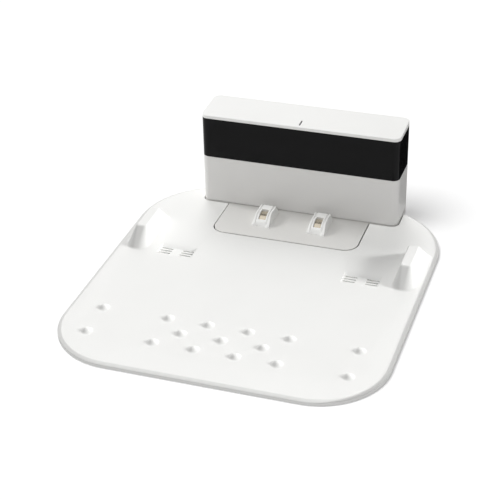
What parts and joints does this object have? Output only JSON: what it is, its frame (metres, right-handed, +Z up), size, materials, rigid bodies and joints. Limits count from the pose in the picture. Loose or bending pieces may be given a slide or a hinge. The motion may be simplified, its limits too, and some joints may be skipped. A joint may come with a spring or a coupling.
{
  "type": "robot vacuum charging dock",
  "caption": "Upright charging dock with a glossy infrared window and sprung foot contacts, standing in a wide white drip tray with guide fins and raised bumps.",
  "frame": {"origin": "on the floor, in the middle of the object's outline", "axes": "+X to the right seen from the robot's side, +Y to the back, from the tray's front edge to the tower, +Z up"},
  "size_m": [0.34, 0.3852, 0.1154],
  "materials": {
    "tray_white": "satin moulded",
    "base_white": "satin moulded",
    "housing_white": "satin moulded",
    "cap_white": "satin moulded",
    "window_black": "polished",
    "frame_black": "moulded",
    "indicator": "smoked clear",
    "board_green": "solder resist",
    "component_black": "moulded",
    "emitter_clear": "tinted clear",
    "capacitor_sleeve": "shrunk sleeve",
    "cable_grey": "flexible sheath",
    "contact_metal": "nickel plated",
    "strip_brass": "stamped",
    "screw_steel": "zinc plated",
    "pad_rubber": "moulded"
  },
  "bodies": {
    "dock": {"drip_tray": "tray_white", "dock_base": "base_white", "bottom_plate": "base_white", "lower_housing": "housing_white", "window_band": "window_black", "rear_panel": "housing_white", "inner_frame": "frame_black", "top_cap": "cap_white", "light_pipe": "indicator", "main_board": "board_green", "status_led": "indicator", "emitter_hood": "component_black", "power_board": "board_green", "transformer": "component_black", "bulk_capacitor": "capacitor_sleeve", "mains_inlet": "component_black", "link_cable": "cable_grey", "housing_screws": "screw_steel", "plate_screws": "screw_steel", "board_screws": "screw_steel", "ir_emitter_left": "emitter_clear", "ir_emitter_centre": "emitter_clear", "ir_emitter_right": "emitter_clear", "contact_spring_left": "strip_brass", "contact_strip_left": "strip_brass", "tray_pad_front_left": "pad_rubber", "tray_pad_middle_left": "pad_rubber", "tray_pad_back_left": "pad_rubber", "dock_pad_foot_left": "pad_rubber", "dock_pad_tower_left": "pad_rubber", "contact_spring_right": "strip_brass", "contact_strip_right": "strip_brass", "tray_pad_front_right": "pad_rubber", "tray_pad_middle_right": "pad_rubber", "tray_pad_back_right": "pad_rubber", "dock_pad_foot_right": "pad_rubber", "dock_pad_tower_right": "pad_rubber"},
    "left_contact": {"contact_left": "contact_metal"},
    "right_contact": {"contact_right": "contact_metal"}
  },
  "joints": [
    {"name": "contact_press_left", "type": "slide", "parent": "dock", "child": "left_contact", "axis": [0, 0, -1], "range_m": [0, 0.0016], "stiffness_N_per_m": 600, "springref_m": -0.001, "deforming": ["contact_spring_left"]},
    {"name": "contact_press_right", "type": "slide", "parent": "dock", "child": "right_contact", "axis": [0, 0, -1], "range_m": [0, 0.0016], "stiffness_N_per_m": 600, "springref_m": -0.001, "deforming": ["contact_spring_right"]}
  ]
}
